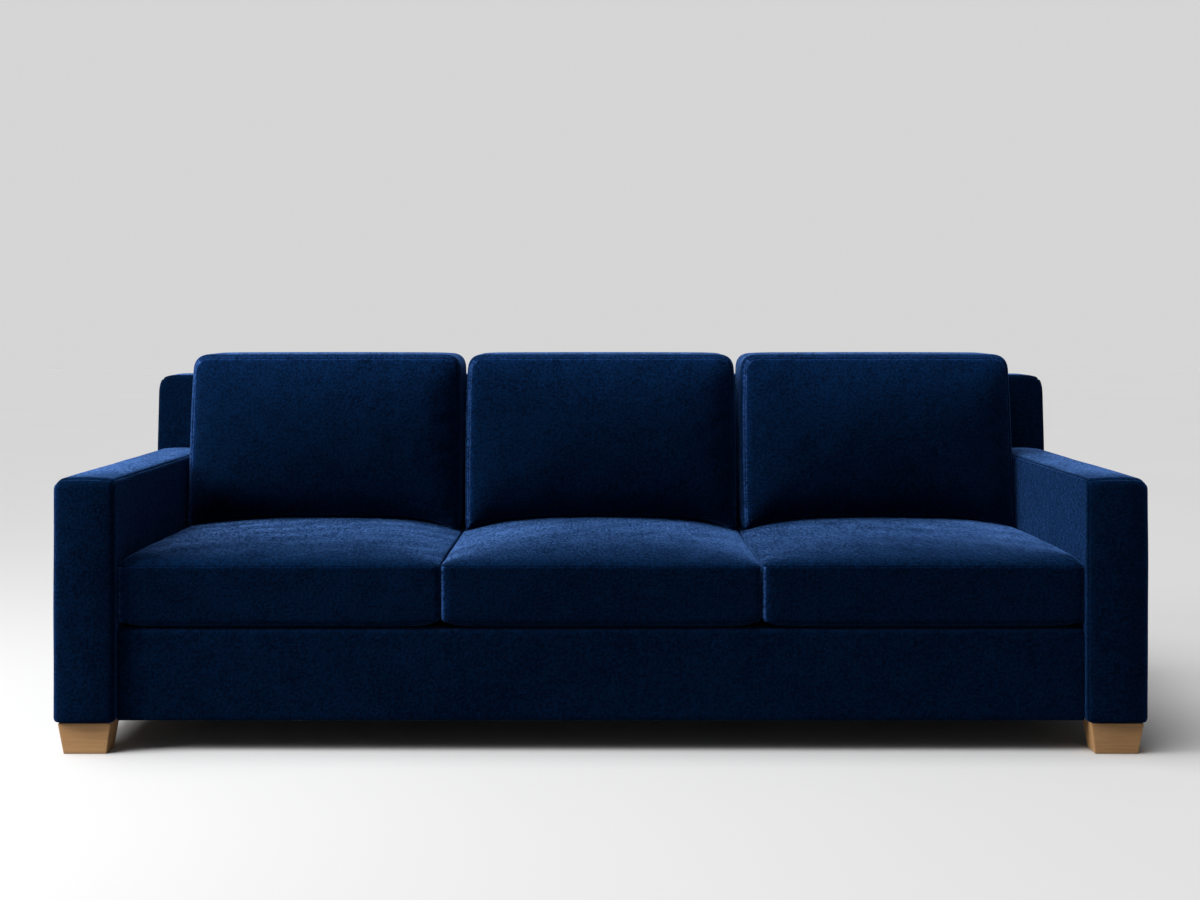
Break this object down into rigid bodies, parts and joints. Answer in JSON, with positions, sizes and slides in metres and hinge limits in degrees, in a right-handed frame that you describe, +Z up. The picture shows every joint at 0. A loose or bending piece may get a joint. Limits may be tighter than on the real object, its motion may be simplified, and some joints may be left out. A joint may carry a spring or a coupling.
{
  "type": "sofa",
  "caption": "Long straight velvet sofa with square arms, loose crowned seat cushions and leaning back cushions, on a sprung timber frame with tapered block feet.",
  "frame": {"origin": "on the floor, under the middle of the sofa", "axes": "+X along the sofa to the right seen from the front, -Y to the front, where the sitter faces, +Z up"},
  "size_m": [2.438, 1.016, 0.8829],
  "materials": {
    "velvet": "deep navy velvet, short dense pile with a pale blue sheen at grazing angles",
    "oak": "light oak, clear matt lacquer, grain across the foot",
    "frame_wood": "sawn softwood and plywood, unfinished",
    "foam": "open-cell polyurethane foam",
    "lining": "black non-woven cloth; the support legs are moulded in black",
    "steel": "zinc plated",
    "zip_metal": "dark enamel"
  },
  "bodies": {
    "frame": {"left_arm_bottom_board": "frame_wood", "left_arm_top_board": "frame_wood", "left_arm_front_post": "frame_wood", "left_arm_rear_post": "frame_wood", "left_arm_cover": "velvet", "back_left_end_post": "frame_wood", "back_left_inner_post": "frame_wood", "seat_left_end_rail": "frame_wood", "seat_left_cross_rail": "frame_wood", "front_left_foot": "oak", "front_left_foot_bolt": "steel", "rear_left_foot": "oak", "rear_left_foot_bolt": "steel", "left_support_leg": "lining", "left_support_leg_bolt": "steel", "right_arm_bottom_board": "frame_wood", "right_arm_top_board": "frame_wood", "right_arm_front_post": "frame_wood", "right_arm_rear_post": "frame_wood", "right_arm_cover": "velvet", "back_right_end_post": "frame_wood", "back_right_inner_post": "frame_wood", "seat_right_end_rail": "frame_wood", "seat_right_cross_rail": "frame_wood", "front_right_foot": "oak", "front_right_foot_bolt": "steel", "rear_right_foot": "oak", "rear_right_foot_bolt": "steel", "right_support_leg": "lining", "right_support_leg_bolt": "steel", "back_bottom_rail": "frame_wood", "back_top_rail": "frame_wood", "seat_front_rail": "frame_wood", "seat_back_rail": "frame_wood", "back_cover": "velvet", "outside_back_panel": "velvet", "front_rail_cover": "velvet", "seat_deck_cloth": "lining", "dust_cover": "lining", "left_seat_springs": "steel", "centre_seat_springs": "steel", "right_seat_springs": "steel"},
    "left_seat_cushion": {"left_seat_cushion_cover": "velvet", "left_seat_cushion_core": "foam"},
    "left_seat_zip": {"left_seat_zip_slider": "zip_metal"},
    "left_back_cushion": {"left_back_cushion_cover": "velvet", "left_back_cushion_core": "foam"},
    "left_back_zip": {"left_back_zip_slider": "zip_metal"},
    "centre_seat_cushion": {"centre_seat_cushion_cover": "velvet", "centre_seat_cushion_core": "foam"},
    "centre_seat_zip": {"centre_seat_zip_slider": "zip_metal"},
    "centre_back_cushion": {"centre_back_cushion_cover": "velvet", "centre_back_cushion_core": "foam"},
    "centre_back_zip": {"centre_back_zip_slider": "zip_metal"},
    "right_seat_cushion": {"right_seat_cushion_cover": "velvet", "right_seat_cushion_core": "foam"},
    "right_seat_zip": {"right_seat_zip_slider": "zip_metal"},
    "right_back_cushion": {"right_back_cushion_cover": "velvet", "right_back_cushion_core": "foam"},
    "right_back_zip": {"right_back_zip_slider": "zip_metal"}
  },
  "joints": [
    {"name": "left_seat_pull", "type": "slide", "parent": "frame", "child": "left_seat_cushion", "axis": [0, -1, 0], "range_m": [0, 0.35]},
    {"name": "centre_seat_pull", "type": "slide", "parent": "frame", "child": "centre_seat_cushion", "axis": [0, -1, 0], "range_m": [0, 0.35]},
    {"name": "right_seat_pull", "type": "slide", "parent": "frame", "child": "right_seat_cushion", "axis": [0, -1, 0], "range_m": [0, 0.35]},
    {"name": "left_back_lift", "type": "slide", "parent": "frame", "child": "left_back_cushion", "axis": [0, 0, 1], "range_m": [0, 0.4]},
    {"name": "centre_back_lift", "type": "slide", "parent": "frame", "child": "centre_back_cushion", "axis": [0, 0, 1], "range_m": [0, 0.4]},
    {"name": "right_back_lift", "type": "slide", "parent": "frame", "child": "right_back_cushion", "axis": [0, 0, 1], "range_m": [0, 0.4]},
    {"name": "left_seat_zip_run", "type": "slide", "parent": "left_seat_cushion", "child": "left_seat_zip", "axis": [1, 0, 0], "range_m": [0, 0.46]},
    {"name": "left_back_zip_run", "type": "slide", "parent": "left_back_cushion", "child": "left_back_zip", "axis": [1, 0, 0], "range_m": [0, 0.46]},
    {"name": "centre_seat_zip_run", "type": "slide", "parent": "centre_seat_cushion", "child": "centre_seat_zip", "axis": [1, 0, 0], "range_m": [0, 0.46]},
    {"name": "centre_back_zip_run", "type": "slide", "parent": "centre_back_cushion", "child": "centre_back_zip", "axis": [1, 0, 0], "range_m": [0, 0.46]},
    {"name": "right_seat_zip_run", "type": "slide", "parent": "right_seat_cushion", "child": "right_seat_zip", "axis": [1, 0, 0], "range_m": [0, 0.46]},
    {"name": "right_back_zip_run", "type": "slide", "parent": "right_back_cushion", "child": "right_back_zip", "axis": [1, 0, 0], "range_m": [0, 0.46]}
  ]
}
